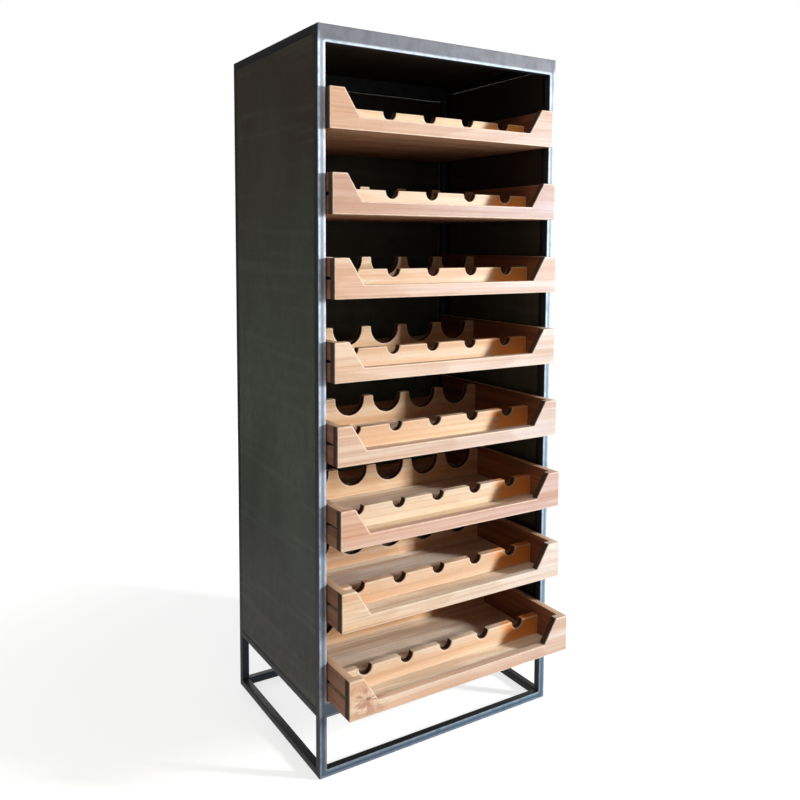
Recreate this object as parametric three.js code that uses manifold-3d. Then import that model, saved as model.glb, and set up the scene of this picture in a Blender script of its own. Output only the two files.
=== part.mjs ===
// Tall steel wine cabinet with eight pull-out wooden bottle drawers.
// Millimetres, +Z up, the open front faces -Y. The origin is on the floor, at the middle of the
// space that the cabinet and its pulled-out drawers take up.
import * as THREE from 'three';
import { mergeVertices } from 'three/addons/utils/BufferGeometryUtils.js';
import Module from 'manifold-3d';

const wasm = await Module();
wasm.setup();

// Cabinet
const cabinetWidth = 700;
const cabinetDepth = 510;
const cabinetHeight = 1750;
const seatGap = 0.3;

// Welded frame: square tube, with a deeper tube above and below the front and back openings
const tubeSide = 20;
const deepRailHeight = 40;
const legClearance = 148;

// Sheet panels, let into the frame
const sheetThickness = 1.5;
const sheetRecess = 0.5;

// Runner racks
const stripWidth = 25;
const stripThickness = 3;
const runnerThickness = 6;

// Drawers, counted from the top, with how far each one stands out of the frame
const drawerPulls = [17, 30, 39, 39, 52, 68, 73, 108];
const drawerHeight = 93;
const drawerSideClearance = 1.5;
const drawerSillClearance = 2;
const drawerBackClearance = 3;
const boardThickness = 20;
const floorThickness = 12;
const ledgeHeight = 31;

// Cutaway in the drawer front
const cutawayDepth = 62;
const shoulderWidth = 38;
const slopeRun = 39;

// Groove at mid-height of the drawer's sides, which hangs on the runner and stops at the front
const grooveDepth = 8;
const groovePlay = 1.7;
const grooveBedClearance = 1;

// Neck rail, the low notched rail behind the front
const neckRailSetback = 92;
const neckRailHeight = 52;
const neckNotchRadius = 18;
const neckNotchRise = 2;
const neckNotchEase = 2;

// Bottle rail, the tall notched rail that carries the bottles' bodies
const bottleRailSetback = 330;
const bottleRailDrop = 3.7;
const bottleNotchRadius = 44;
const bottleNotchRise = 6;
const bottleNotchEase = 3;
const leastToothWidth = 20;

// Steps in a notch's half turn and in an eased corner's quarter turn
const notchSteps = 14;
const easeSteps = 2;

// Places that follow from the sizes above
const innerWidth = cabinetWidth - 2 * tubeSide;
const betweenFrames = [tubeSide + seatGap, cabinetDepth - tubeSide - seatGap];
const sillTop = legClearance + deepRailHeight;
const lintelBottom = cabinetHeight - deepRailHeight;
const drawerWidth = innerWidth - 2 * drawerSideClearance;
const drawerLength = cabinetDepth - sheetRecess - sheetThickness - drawerBackClearance;
const drawerCount = drawerPulls.length;
const firstDrawerBase = sillTop + drawerSillClearance;
const drawerPitch = (lintelBottom - firstDrawerBase) / drawerCount;
const sideLength = drawerLength - boardThickness - seatGap;
const bayWidth = drawerWidth - 2 * boardThickness;
const railLength = bayWidth - 2 * seatGap;
const bottleRailHeight = drawerHeight - bottleRailDrop - floorThickness - seatGap;
const grooveHeight = runnerThickness + seatGap + groovePlay;
const grooveTop = (drawerHeight + grooveHeight) / 2;
const grooveBottom = grooveTop - grooveHeight;
const runnerTop = grooveTop - seatGap;

// As many bottles lie side by side as leave a tooth of the least width on either side of each notch
const notchWidth = 2 * bottleNotchRadius;
const bottleCount = Math.max(1, Math.floor((bayWidth - leastToothWidth) / (notchWidth + leastToothWidth)));
const toothWidth = (bayWidth - bottleCount * notchWidth) / (bottleCount + 1);
const bottlePitch = notchWidth + toothWidth;

// Finishes
const tubeFinish = { color: 0x8d98a1, roughness: 0.38, metalness: 0.85 };
const sheetFinish = { color: 0x3d3d38, roughness: 0.55, metalness: 0.6 };
const runnerFinish = { color: 0x33332f, roughness: 0.5, metalness: 0.7 };
const frontFinish = { color: 0xe9c49c, roughness: 0.6, metalness: 0 };
const boardFinish = { color: 0xc9986a, roughness: 0.65, metalness: 0 };

function solidFrom(geometry) {
  const bare = geometry.clone();
  bare.deleteAttribute('normal');
  bare.deleteAttribute('uv');
  const merged = mergeVertices(bare);
  return new wasm.Manifold(new wasm.Mesh({
    numProp: 3,
    vertProperties: new Float32Array(merged.attributes.position.array),
    triVerts: new Uint32Array(merged.index.array),
  }));
}

function geometryFrom(solid) {
  const mesh = solid.getMesh();
  const geometry = new THREE.BufferGeometry();
  geometry.setAttribute('position', new THREE.BufferAttribute(mesh.vertProperties, 3));
  geometry.setIndex(new THREE.BufferAttribute(mesh.triVerts, 1));
  geometry.computeVertexNormals();
  return geometry;
}

// A box between two opposite corners.
function boxBetween(low, high) {
  const size = high.map((value, i) => value - low[i]);
  const geometry = new THREE.BoxGeometry(...size);
  geometry.translate(low[0] + size[0] / 2, low[1] + size[1] / 2, low[2] + size[2] / 2);
  return geometry;
}

// A box at one side of the cabinet: side is -1 or 1, and across gives its two distances from the middle.
function sideBox(side, across, along, up) {
  const edges = across.map((distance) => side * distance).sort((a, b) => a - b);
  return boxBetween([edges[0], along[0], up[0]], [edges[1], along[1], up[1]]);
}

// An outline drawn looking at the front, in x and z, given a thickness from y = 0 towards +Y.
// An extrusion gives each arc twice its curveSegments.
function frontOutline(shape, thickness) {
  const options = { depth: thickness, bevelEnabled: false, curveSegments: notchSteps / 2 };
  const geometry = new THREE.ExtrudeGeometry(shape, options);
  geometry.rotateX(Math.PI / 2);
  geometry.translate(0, thickness, 0);
  return geometry;
}

// An outline drawn looking at the side, in y and z, given a width centred on x = 0.
function sideOutline(shape, width) {
  const geometry = new THREE.ExtrudeGeometry(shape, { depth: width, bevelEnabled: false });
  const turn = new THREE.Matrix4().makeBasis(
    new THREE.Vector3(0, 1, 0),
    new THREE.Vector3(0, 0, 1),
    new THREE.Vector3(1, 0, 0),
  );
  geometry.applyMatrix4(turn);
  geometry.translate(-width / 2, 0, 0);
  return geometry;
}

function rectangle(path, left, right, bottom, top) {
  path.moveTo(left, bottom);
  path.lineTo(right, bottom);
  path.lineTo(right, top);
  path.lineTo(left, top);
  path.closePath();
  return path;
}

function named(name, geometry, finish) {
  const mesh = new THREE.Mesh(geometry, new THREE.MeshStandardMaterial(finish));
  mesh.name = name;
  return mesh;
}

// Front or rear frame: two posts, a rail above and below the opening, and a floor rail, welded flat.
function endFrame(name) {
  const half = cabinetWidth / 2;
  const halfInner = innerWidth / 2;
  const outline = rectangle(new THREE.Shape(), -half, half, 0, cabinetHeight);
  outline.holes.push(rectangle(new THREE.Path(), -halfInner, halfInner, tubeSide, legClearance));
  outline.holes.push(rectangle(new THREE.Path(), -halfInner, halfInner, sillTop, lintelBottom));
  return named(name, frontOutline(outline, tubeSide), tubeFinish);
}

// Low rail along one side, between the feet of the front and rear frames.
function floorRail(name, side) {
  const outer = cabinetWidth / 2;
  return named(name, sideBox(side, [outer - tubeSide, outer], betweenFrames, [0, tubeSide]), tubeFinish);
}

// Side rack: the upper and lower side rails, two upright strips, and a runner for each drawer.
function runnerRack(name, side) {
  const [front, back] = betweenFrames;
  const outer = cabinetWidth / 2;
  const stripOuter = outer - sheetRecess - sheetThickness - seatGap;
  const strip = [stripOuter - stripThickness, stripOuter];
  const tube = [outer - tubeSide, outer];
  const runner = [drawerWidth / 2 - grooveDepth + grooveBedClearance, stripOuter];
  const bars = [
    sideBox(side, tube, betweenFrames, [legClearance, legClearance + tubeSide]),
    sideBox(side, tube, betweenFrames, [cabinetHeight - tubeSide, cabinetHeight]),
    sideBox(side, strip, [front, front + stripWidth], [legClearance, cabinetHeight]),
    sideBox(side, strip, [back - stripWidth, back], [legClearance, cabinetHeight]),
  ];
  for (let level = 0; level < drawerCount; level += 1) {
    const top = firstDrawerBase + level * drawerPitch + runnerTop;
    bars.push(sideBox(side, runner, betweenFrames, [top - runnerThickness, top]));
  }
  const solid = bars.map(solidFrom).reduce((sum, bar) => sum.add(bar));
  return named(name, geometryFrom(solid), runnerFinish);
}

function sidePanel(name, side) {
  const outer = cabinetWidth / 2 - sheetRecess;
  const edge = tubeSide + seatGap;
  const up = [legClearance + edge, cabinetHeight - edge];
  return named(name, sideBox(side, [outer - sheetThickness, outer], betweenFrames, up), sheetFinish);
}

function backPanel() {
  const half = innerWidth / 2 - seatGap;
  const outer = cabinetDepth - sheetRecess;
  const geometry = boxBetween(
    [-half, outer - sheetThickness, sillTop + seatGap],
    [half, outer, lintelBottom - seatGap],
  );
  return named('back_panel', geometry, sheetFinish);
}

function levelPanel(name, bottom) {
  const half = innerWidth / 2 - seatGap;
  const [front, back] = betweenFrames;
  return named(name, boxBetween([-half, front, bottom], [half, back, bottom + sheetThickness]), sheetFinish);
}

// Drawer front: raised shoulders, sloping down to a low middle. Its solid ends close the sides' grooves.
function drawerFront(name) {
  const half = drawerWidth / 2;
  const shoulder = half - shoulderWidth;
  const low = shoulder - slopeRun;
  const outline = new THREE.Shape();
  outline.moveTo(-half, 0);
  outline.lineTo(half, 0);
  outline.lineTo(half, drawerHeight);
  outline.lineTo(shoulder, drawerHeight);
  outline.lineTo(low, drawerHeight - cutawayDepth);
  outline.lineTo(-low, drawerHeight - cutawayDepth);
  outline.lineTo(-shoulder, drawerHeight);
  outline.lineTo(-half, drawerHeight);
  outline.closePath();
  return named(name, frontOutline(outline, boardThickness), frontFinish);
}

// Drawer side, grooved along its outer face from end to end.
function drawerSide(name, side) {
  const outer = side * drawerWidth / 2;
  const inner = outer - side * boardThickness;
  const bed = outer - side * grooveDepth;
  const outline = new THREE.Shape();
  outline.moveTo(inner, 0);
  outline.lineTo(outer, 0);
  outline.lineTo(outer, grooveBottom);
  outline.lineTo(bed, grooveBottom);
  outline.lineTo(bed, grooveTop);
  outline.lineTo(outer, grooveTop);
  outline.lineTo(outer, drawerHeight);
  outline.lineTo(inner, drawerHeight);
  outline.closePath();
  const mesh = named(name, frontOutline(outline, sideLength), boardFinish);
  mesh.position.set(0, boardThickness + seatGap, 0);
  return mesh;
}

// Drawer floor, with the low ledge that closes its back end.
function drawerFloor(name) {
  const outline = new THREE.Shape();
  outline.moveTo(0, 0);
  outline.lineTo(sideLength, 0);
  outline.lineTo(sideLength, ledgeHeight);
  outline.lineTo(sideLength - boardThickness, ledgeHeight);
  outline.lineTo(sideLength - boardThickness, floorThickness);
  outline.lineTo(0, floorThickness);
  outline.closePath();
  const mesh = named(name, sideOutline(outline, railLength), boardFinish);
  mesh.position.set(0, boardThickness + seatGap, 0);
  return mesh;
}

// Corner of a notch at the rail's top, eased by a quarter round: side is 1 on the notch's right.
function easedCorner(outline, edge, height, ease, side) {
  for (let step = 0; step <= easeSteps; step += 1) {
    const turn = (side > 0 ? step : easeSteps - step) / easeSteps * Math.PI / 2;
    outline.lineTo(edge + side * ease * (1 - Math.sin(turn)), height - ease * (1 - Math.cos(turn)));
  }
}

// Rail with a notch for each bottle: a half round, a short straight rise and eased upper corners.
function notchedRail(name, rail) {
  const half = railLength / 2;
  const { height, radius, rise } = rail;
  const ease = Math.min(rail.ease, rise);
  const outline = new THREE.Shape();
  outline.moveTo(-half, 0);
  outline.lineTo(half, 0);
  outline.lineTo(half, height);
  for (let i = bottleCount - 1; i >= 0; i -= 1) {
    const centre = (i - (bottleCount - 1) / 2) * bottlePitch;
    easedCorner(outline, centre + radius, height, ease, 1);
    outline.absarc(centre, height - rise, radius, 0, Math.PI, true);
    easedCorner(outline, centre - radius, height, ease, -1);
  }
  outline.lineTo(-half, height);
  outline.closePath();
  const mesh = named(name, frontOutline(outline, boardThickness), boardFinish);
  mesh.position.set(0, rail.setback, floorThickness + seatGap);
  return mesh;
}

const neckRail = {
  setback: neckRailSetback,
  height: neckRailHeight,
  radius: neckNotchRadius,
  rise: neckNotchRise,
  ease: neckNotchEase,
};
const bottleRail = {
  setback: bottleRailSetback,
  height: bottleRailHeight,
  radius: bottleNotchRadius,
  rise: bottleNotchRise,
  ease: bottleNotchEase,
};

// One drawer. Its own zero is at the bottom of the front's outer face.
function drawer(number, pull) {
  const group = new THREE.Group();
  const prefix = `drawer_${number}`;
  group.add(drawerFront(`${prefix}_front`));
  group.add(drawerSide(`${prefix}_left_side`, -1));
  group.add(drawerSide(`${prefix}_right_side`, 1));
  group.add(drawerFloor(`${prefix}_floor`));
  group.add(notchedRail(`${prefix}_neck_rail`, neckRail));
  group.add(notchedRail(`${prefix}_bottle_rail`, bottleRail));
  group.position.set(0, -pull, firstDrawerBase + (drawerCount - number) * drawerPitch);
  return group;
}

const cabinet = new THREE.Group();
const frontFrame = endFrame('front_frame');
const rearFrame = endFrame('rear_frame');
rearFrame.position.set(0, cabinetDepth - tubeSide, 0);
cabinet.add(frontFrame);
cabinet.add(rearFrame);
cabinet.add(floorRail('left_floor_rail', -1));
cabinet.add(floorRail('right_floor_rail', 1));
cabinet.add(runnerRack('left_runner_rack', -1));
cabinet.add(runnerRack('right_runner_rack', 1));
cabinet.add(sidePanel('left_side_panel', -1));
cabinet.add(sidePanel('right_side_panel', 1));
cabinet.add(backPanel());
cabinet.add(levelPanel('bottom_panel', legClearance + sheetRecess));
cabinet.add(levelPanel('top_panel', cabinetHeight - sheetRecess - sheetThickness));
drawerPulls.forEach((pull, i) => cabinet.add(drawer(i + 1, pull)));

// The drawer that is pulled out furthest is the object's foremost point.
cabinet.position.set(0, (Math.max(...drawerPulls) - cabinetDepth) / 2, 0);

export default cabinet;
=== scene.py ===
"""Looks of the tall steel wine cabinet with eight notched wooden bottle drawers.

Metres, +Z up, the open front faces -Y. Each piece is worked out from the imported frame's boxes.
"""

import math

import bmesh
import bpy
import numpy as np
from mathutils import Matrix, Vector


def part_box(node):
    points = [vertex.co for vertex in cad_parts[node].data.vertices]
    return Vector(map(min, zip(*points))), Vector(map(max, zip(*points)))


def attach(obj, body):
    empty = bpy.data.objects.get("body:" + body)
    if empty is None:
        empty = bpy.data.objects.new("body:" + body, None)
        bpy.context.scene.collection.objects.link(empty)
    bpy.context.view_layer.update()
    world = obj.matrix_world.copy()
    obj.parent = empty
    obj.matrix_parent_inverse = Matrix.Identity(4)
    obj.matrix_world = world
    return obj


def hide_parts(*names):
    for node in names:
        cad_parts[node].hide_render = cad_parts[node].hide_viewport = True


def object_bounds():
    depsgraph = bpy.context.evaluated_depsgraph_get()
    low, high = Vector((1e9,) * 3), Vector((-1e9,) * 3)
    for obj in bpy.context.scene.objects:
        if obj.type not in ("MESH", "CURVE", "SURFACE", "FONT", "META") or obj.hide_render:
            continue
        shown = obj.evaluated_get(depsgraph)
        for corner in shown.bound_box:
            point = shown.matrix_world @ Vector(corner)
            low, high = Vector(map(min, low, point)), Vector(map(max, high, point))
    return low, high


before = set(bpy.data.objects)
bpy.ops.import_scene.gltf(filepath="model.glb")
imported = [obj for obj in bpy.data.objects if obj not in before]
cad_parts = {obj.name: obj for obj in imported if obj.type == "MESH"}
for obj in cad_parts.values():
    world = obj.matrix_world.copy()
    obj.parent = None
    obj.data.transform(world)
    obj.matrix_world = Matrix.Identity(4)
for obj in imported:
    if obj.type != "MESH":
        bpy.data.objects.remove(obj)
cad_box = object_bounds()

# Camera, solved from the photograph's straight edges
PICTURE_SIDE = 800
FOCAL_PIXELS = 832.55
CENTRE_ROW = 311.32
CAMERA_PLACE = (-1.18658, -1.88628, 1.26389)
CAMERA_YAW = 32.030
CAMERA_PITCH = 4.602
CAMERA_ROLL = 0.277

# Boards
ARRIS = 0.0013
CORNER_ROUND = 0.0016
# Width of the band along a board's arris that takes wear and painted highlight
WEAR_AND_HIGHLIGHT_BAND = 0.004
CORNER_STEPS = 3
SHARP_TURN = math.radians(25)
CREASE = math.radians(50)
MERGE_DISTANCE = 1e-6

# Share of wear and painted highlight on the front and the back arris of a board
FACE_ONLY = (1.0, 0.0)
PLAIN_ARRISES = (0.0, 0.0)

# Drawer front
CUTAWAY_DEPTH = 0.062
SHOULDER_WIDTH = 0.038
SLOPE_RUN = 0.039

# Groove along the drawer's sides
GROOVE_HEIGHT = 0.008
GROOVE_DEPTH = 0.008

# Notches
BOTTLES = 5
NOTCH_STEPS = 24
BOTTLE_RADIUS = 0.044

# Rail, notch radius, height of its rims over its axis, and round of its rims
NOTCHES = (("neck", 0.018, 0.002, 0.0015), ("bottle", BOTTLE_RADIUS, 0.006, 0.003))

# Floor
# Painted light and shade on the planks from front to back: lighter where the light reaches in, darker on the
# last, in shade behind the bottle rail
PLANK_LIGHT_AND_SHADE = (1.0, 1.03, 1.03, 1.0, 0.82)
PLANKS = len(PLANK_LIGHT_AND_SHADE)
PLANK_JOINT = 0.0007
FLOOR_THICKNESS = 0.012
BOARD_THICKNESS = 0.020

# Steel
TUBE_ROUND = 0.0026
# Width of the band along the tube edges that takes the painted highlight
TUBE_HIGHLIGHT_BAND = 0.0095
TUBE_BEVEL_STEPS = 3
TUBE_BEVEL_FROM = math.radians(40)
RAIL_SIDE = 0.020

# The tubes run on this far under the sheets' edges, so that no light shows through the seats
SEAM = 0.00035

STRIP_WIDTH = 0.025
STRIP_THICKNESS = 0.003
RUNNER_THICKNESS = 0.006

DRAWERS = 8

# Tones of the steel, as shares of its colours: full on the front frame, and near-black elsewhere as painted
# shade
BARE = (1.0, 1.0, 1.0)
SHADED_STEEL_TONE = (0.16, 0.17, 0.18)

# Painted light and shade on the front frame, as shares of that tone on the lintel, and on the left and right
# legs and posts, low down and high up: darker on the lintel and legs, lighter high on the posts
LINTEL_LIGHT_TONE = (0.59, 0.60, 0.64)
LEG_LIGHT_TONES = ((0.48, 0.49, 0.52), (0.44, 0.53, 0.58))
LOW_POST_LIGHT_TONES = ((1.02, 0.89, 0.85), (0.84, 0.90, 0.94))
HIGH_POST_LIGHT_TONES = ((1.44, 1.48, 1.55), (1.02, 1.10, 1.15))

# Tints that the boards take by chance: peach, honey, rose, straw and tan
TINTS = [(1.0, 0.985, 0.97), (1.0, 0.99, 0.94), (1.0, 0.965, 0.975), (1.0, 1.0, 0.965),
         (0.975, 0.955, 0.93)]
TINT_SPREAD = (0.95, 1.02)

# Tints of the eight fronts from the top down, partly the boards' own colour and partly painted light and
# shade, and how they turn from the middle to the right end, which is painted light: cooler towards the
# right, warmer towards the left
FRONT_TINTS = [(0.76, 0.70, 0.67), (0.69, 0.66, 0.73), (0.85, 0.85, 0.89), (0.88, 0.89, 0.90),
               (0.84, 0.84, 0.86), (0.84, 0.76, 0.78), (0.98, 1.03, 1.01), (0.98, 0.98, 0.97)]
FRONT_LIGHT_TURN = np.array([-0.09, 0.0, 0.13])

# How far a board's wide face lies from its log's heart, how far off to the side, and how far along
FROM_HEART = (0.025, 0.09)
OFF_HEART = (-0.05, 0.05)
ALONG_LOG = (0, 30)
chance = np.random.default_rng(11)

# The two lowest fronts are sawn from a paler place in their logs
LOG_SHIFTS = {7: (0.0, 0.0, 0.020), 8: (0.0, 0.0, 0.017)}

# Middle of the knot in the lowest front, in the CAD's frame, and where the knot of a clear board is
KNOT_PLACE = (-0.279, -0.309, 0.232)
FAR_OFF = (9, 9, 9)

# Height of the cabinet, over which the tints of its steel drift
HEIGHT = cad_box[1][2]

# Shares of the dark figure, the swirl, the knot, the painted shade on faces that look down, the sawn ends
# with their painted shade, and the wear with its painted highlight
STREAK_SHARE = 0.42
RING_SHARE = 0.30
PORE_SHARE = 0.35
SWIRL_SHARE = 0.62
KNOT_SHARE = 0.75
UNDERSIDE_SHADE_SHARE = 0.75
END_SHARE = 0.96
WEAR_AND_HIGHLIGHT_SHARE = 0.62

# Stains: patches per metre along and across the grain, and where in the noise they begin and are full
STAIN_STRETCH = (2.4, 17.0, 17.0)
STAIN_FROM = (0.48, 0.66)

# Painted shade at the right end of the neck rails, where the shoulder's shadow falls: where it starts and
# ends along X, and how ragged its border is
NECK_SHADE_START = 0.165
NECK_SHADE_END = 0.215
NECK_SHADE_RAGGED = 0.10

# Studio
MIDDLE = (0.0, -0.25, 0.9)
KEY_PLACE = (3.14, -2.89, 1.75)
KEY_SIDES = (0.36, 0.80)
KEY_POWER = 227
KEY_COLOUR = (1.0, 0.985, 0.96)
OVERHEAD_PLACE = (0.2, -1.5, 3.4)
OVERHEAD_TARGET = (0.0, -0.2, 0.8)
OVERHEAD_SIDES = (1.6, 1.0)
OVERHEAD_POWER = 16
OVERHEAD_COLOUR = (1.0, 0.93, 0.84)
FILL_PLACE = (-3.2, 0.1, 1.4)
FILL_TARGET = (-0.35, 0.1, 0.9)
FILL_SIDES = (1.8, 1.8)
FILL_POWER = 12.5
FILL_COLOUR = (0.97, 1.0, 0.97)
BACK_PLACE = (0.5, 3.2, 1.5)
BACK_TARGET = (0.1, 0.3, 0.9)
BACK_SIDES = (1.6, 1.6)
BACK_POWER = 32
AMBIENT = 0.052
AMBIENT_COLOUR = (0.96, 0.92, 0.88, 1)
CARD = (-4.0, -0.5, 1.3, 3.0)
CARD_COLOUR = (0.01, 0.01, 0.01, 1)
CARD_LIFT = 0.001
FLOOR_SIDE = 14.0
FLOOR_COLOUR = (0.55, 0.55, 0.55, 1)

# The floor is lifted to white far out and less near the cabinet, where its shadow lies
LIFT_REACH = (0.9, 2.4)
FLOOR_LIFT = (0.76, 0.985)


def srgb(red, green, blue):
    """A colour written as 0 to 255 screen values, as linear light with full alpha."""
    share = np.array([red, green, blue], float) / 255
    light = np.where(share <= 0.04045, share / 12.92, ((share + 0.055) / 1.055) ** 2.4)
    return (*light.tolist(), 1.0)


class Nodes:
    """Adds shader nodes to one tree and joins them."""

    def __init__(self, tree):
        self.tree = tree

    def add(self, kind, **settings):
        node = self.tree.nodes.new("ShaderNode" + kind)
        for name, value in settings.items():
            setattr(node, name, value)
        return node

    def feed(self, socket, value):
        if isinstance(value, bpy.types.NodeSocket):
            self.tree.links.new(value, socket)
        else:
            socket.default_value = value

    def sum(self, operation, *values, clamp=False):
        """One Math node."""
        node = self.add("Math", operation=operation, use_clamp=clamp)
        for socket, value in zip(node.inputs, values):
            self.feed(socket, value)
        return node.outputs[0]

    def vector(self, operation, *values, scale=None):
        """One Vector Math node."""
        node = self.add("VectorMath", operation=operation)
        for socket, value in zip(node.inputs, values):
            self.feed(socket, value)
        if scale is not None:
            self.feed(node.inputs["Scale"], scale)
        return node.outputs["Value" if operation in ("LENGTH", "DOT_PRODUCT") else "Vector"]

    def split(self, vector):
        node = self.add("SeparateXYZ")
        self.feed(node.inputs[0], vector)
        return node.outputs

    def combine(self, x, y, z):
        node = self.add("CombineXYZ")
        for socket, value in zip(node.inputs, (x, y, z)):
            self.feed(socket, value)
        return node.outputs[0]

    def noise(self, vector, stretch, detail=2.0, roughness=0.5):
        """Noise from 0 to 1 on a vector whose three axes are stretched by their own scale."""
        node = self.add("TexNoise")
        self.feed(node.inputs["Vector"], self.vector("MULTIPLY", vector, stretch))
        node.inputs["Scale"].default_value = 1.0
        node.inputs["Detail"].default_value = detail
        node.inputs["Roughness"].default_value = roughness
        return node.outputs["Fac"]

    def step(self, value, low, high, to_low=0.0, to_high=1.0):
        """Rises smoothly from to_low to to_high while value goes from low to high."""
        node = self.add("MapRange", interpolation_type="SMOOTHSTEP")
        for socket, given in zip(node.inputs, (value, low, high, to_low, to_high)):
            self.feed(socket, given)
        return node.outputs[0]

    def mix(self, share, first, second, blend="MIX"):
        """Mixes two colours."""
        node = self.add("Mix", data_type="RGBA", blend_type=blend, clamp_factor=True)
        self.feed(node.inputs[0], share)
        self.feed(node.inputs[6], first)
        self.feed(node.inputs[7], second)
        return node.outputs[2]

    def ramp(self, value, stops):
        """A colour ramp through (place, colour) stops."""
        node = self.add("ValToRGB")
        elements = node.color_ramp.elements
        while len(elements) < len(stops):
            elements.new(0.5)
        for element, (place, colour) in zip(elements, stops):
            element.position = place
            element.color = colour
        self.feed(node.inputs[0], value)
        return node.outputs[0]

    def group(self, tree, **values):
        node = self.add("Group", node_tree=tree)
        for name, value in values.items():
            self.feed(node.inputs[name.replace("_", " ")], value)
        return node.outputs

    def backdrop_rays(self):
        """1 for the rays that show the backdrop: seen straight, in a reflection or through glass."""
        path = self.add("LightPath").outputs
        mirrored = self.sum("MAXIMUM", path["Is Glossy Ray"], path["Is Transmission Ray"])
        return self.sum("MAXIMUM", path["Is Camera Ray"], mirrored)

    def attribute(self, name, output):
        return self.add("Attribute", attribute_name=name).outputs[output]


def new_group(name, inputs, outputs):
    """An empty node group with named sockets.

    Returns its tree, its Nodes, its inputs and a function that sets an output.
    """
    tree = bpy.data.node_groups.new(name, "ShaderNodeTree")
    for direction, sockets in (("INPUT", inputs), ("OUTPUT", outputs)):
        for label, kind in sockets:
            tree.interface.new_socket(label, in_out=direction, socket_type="NodeSocket" + kind)
    nodes = Nodes(tree)
    entry = tree.nodes.new("NodeGroupInput")
    leave = tree.nodes.new("NodeGroupOutput")

    def give(label, value):
        tree.links.new(value, leave.inputs[label])

    return tree, nodes, entry.outputs, give


def timber_group():
    """Figure of a sawn board. Point runs along the grain in x, with the log's heart on the x axis.

    Growth rings are the distance from the heart, bent by slow noise and pushed aside by a knot.
    Bands and streaks are noise drawn out along the grain, and pores are short dark dashes.
    Round a knot the grain swirls: there the noise is read at a place that is pushed away from it.
    """
    tree, n, given, give = new_group(
        "timber_figure",
        [("Point", "Vector"), ("Knot", "Vector")],
        [("Rings", "Float"), ("Bands", "Float"), ("Streaks", "Float"), ("Pores", "Float"),
         ("Knot", "Float"), ("Swirl", "Float"), ("Relief", "Float")],
    )
    from_knot = n.vector("MULTIPLY", n.vector("SUBTRACT", given["Point"], given["Knot"]), (0.62, 1.0, 1.0))
    knot_distance = n.vector("LENGTH", from_knot)
    near_knot = n.step(knot_distance, 0.055, 0.004)
    away = n.vector("SCALE", n.vector("NORMALIZE", from_knot), scale=n.sum("MULTIPLY", near_knot, 0.016))
    wobble = n.noise(given["Point"], (30.0, 46.0, 46.0), detail=1.0)
    turned_away = n.vector("MULTIPLY", away, (-2.2, -1.0, -1.0))
    point = n.vector("ADD", given["Point"], turned_away)
    slow = n.noise(point, (1.3, 9.0, 9.0), detail=2.0)
    bend = n.sum("MULTIPLY", n.sum("SUBTRACT", slow, 0.5), 0.055)
    x, y, z = n.split(point)
    lean = n.sum("MULTIPLY", x, 0.045)
    heart_distance = n.vector("LENGTH", n.combine(0.0, n.sum("ADD", y, lean), z))
    year = n.sum("FRACT", n.sum("MULTIPLY", n.sum("ADD", heart_distance, bend), 95.0))
    late = n.sum("MULTIPLY", n.step(year, 0.0, 0.85), n.step(year, 1.0, 0.86))
    faded = n.step(n.noise(point, (0.6, 22.0, 22.0)), 0.35, 0.7, 0.25, 1.0)
    rings = n.sum("MULTIPLY", late, faded)
    wide = n.noise(point, (0.55, 24.0, 24.0), detail=3.0, roughness=0.6)
    streaks = n.noise(point, (1.7, 125.0, 125.0), detail=4.0, roughness=0.62)
    dashes = n.noise(point, (90.0, 1500.0, 1500.0), detail=1.0)
    pores = n.step(dashes, 0.66, 0.74)
    uneven = n.sum("ADD", knot_distance, n.sum("MULTIPLY", n.sum("SUBTRACT", wobble, 0.5), 0.010))
    core = n.step(uneven, 0.0075, 0.0025)
    petals = n.noise(n.vector("ADD", n.vector("SCALE", n.vector("NORMALIZE", from_knot), scale=2.3),
                              n.combine(0.0, n.sum("MULTIPLY", uneven, 46.0), 0.0)), (1.0, 1.0, 1.0))
    swirl = n.sum("MULTIPLY", n.step(petals, 0.42, 0.64), n.step(uneven, 0.050, 0.020))
    give("Rings", rings)
    give("Bands", n.sum("ADD", wide, n.sum("MULTIPLY", n.sum("SUBTRACT", slow, 0.5), 0.35)))
    give("Streaks", streaks)
    give("Pores", pores)
    give("Knot", core)
    give("Swirl", swirl)
    relief = n.sum("SUBTRACT", n.sum("MULTIPLY", rings, 0.35), n.sum("MULTIPLY", pores, 0.5))
    give("Relief", n.sum("ADD", relief, n.sum("MULTIPLY", streaks, 0.35)))
    return tree


def edge_group():
    """Wear and painted highlight on edges: the piece's own edge attribute, broken up by noise so that it
    isn't a ruled line.
    """
    tree, n, given, give = new_group(
        "edge_wear_and_highlight", [("Point", "Vector"), ("Edge", "Float")], [("Wear_and_highlight", "Float")])
    patches = n.noise(given["Point"], (55.0, 55.0, 55.0), detail=3.0)
    uneven = n.step(patches, 0.25, 0.7, 0.45, 1.0)
    give("Wear_and_highlight", n.sum("MULTIPLY", n.step(given["Edge"], 0.10, 0.60), uneven))
    return tree


def mottle_group():
    """Uneven oxide on rolled steel: broad clouds, small spots and a fine even tooth."""
    tree, n, given, give = new_group(
        "rolled_mottle", [("Point", "Vector")],
        [("Clouds", "Float"), ("Spots", "Float"), ("Tooth", "Float")])
    point = given["Point"]
    give("Clouds", n.noise(point, (3.1, 3.1, 1.7), detail=4.0, roughness=0.62))
    give("Spots", n.noise(point, (34.0, 34.0, 26.0), detail=4.0, roughness=0.7))
    give("Tooth", n.noise(point, (900.0, 900.0, 900.0), detail=2.0))
    return tree


TIMBER = timber_group()
EDGE = edge_group()
MOTTLE = mottle_group()


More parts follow.
